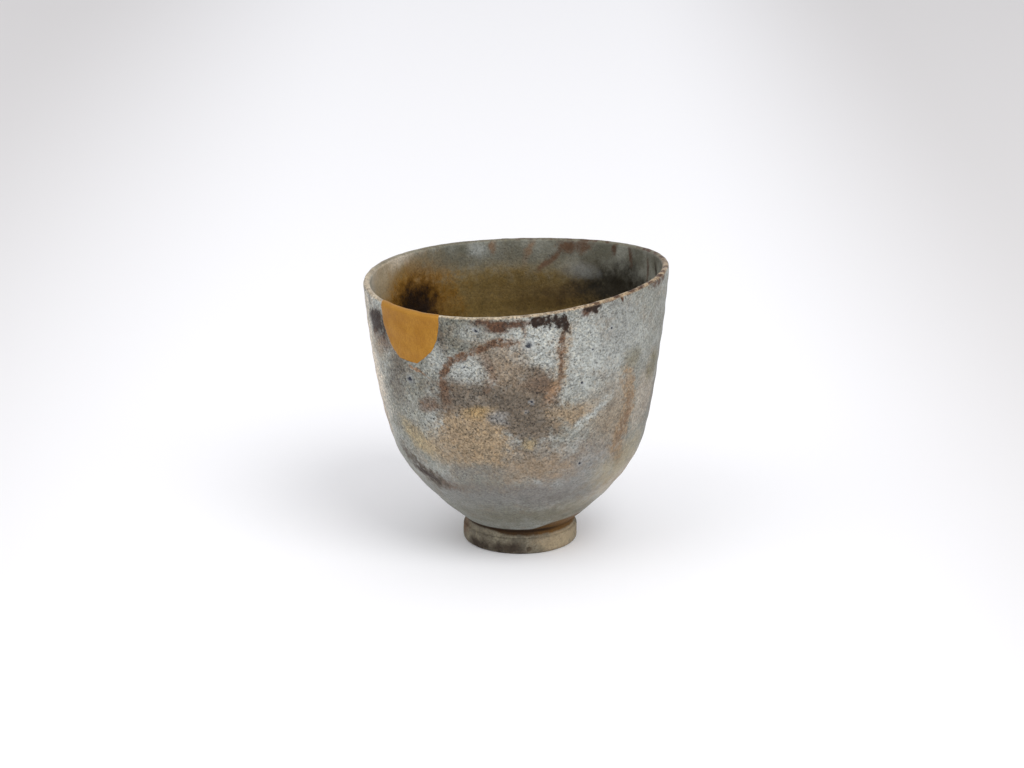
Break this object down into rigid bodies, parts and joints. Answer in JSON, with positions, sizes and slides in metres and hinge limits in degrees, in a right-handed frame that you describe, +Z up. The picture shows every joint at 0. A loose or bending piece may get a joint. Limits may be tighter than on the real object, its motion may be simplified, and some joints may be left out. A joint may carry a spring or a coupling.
{
  "type": "kintsugi teacup",
  "caption": "Tall round teacup without a handle, on a turned foot ring, its chipped lip filled with lacquer and finished in gold.",
  "frame": {"origin": "middle of the bounding box, on the plane that the foot ring stands on", "axes": "+Z up through the mouth, -Y towards the viewer of the picture, the chip faces -Y and -X"},
  "size_m": [0.0862, 0.0862, 0.0818],
  "materials": {
    "stoneware_glaze": "satin grey-blue ash glaze with a sandy speckle, brown iron stains and an olive inside",
    "gold_lacquer": "gold powder burnished to a satin over hard lacquer"
  },
  "bodies": {
    "root": {"cup_body": "stoneware_glaze", "gold_repair": "gold_lacquer"}
  },
  "joints": []
}
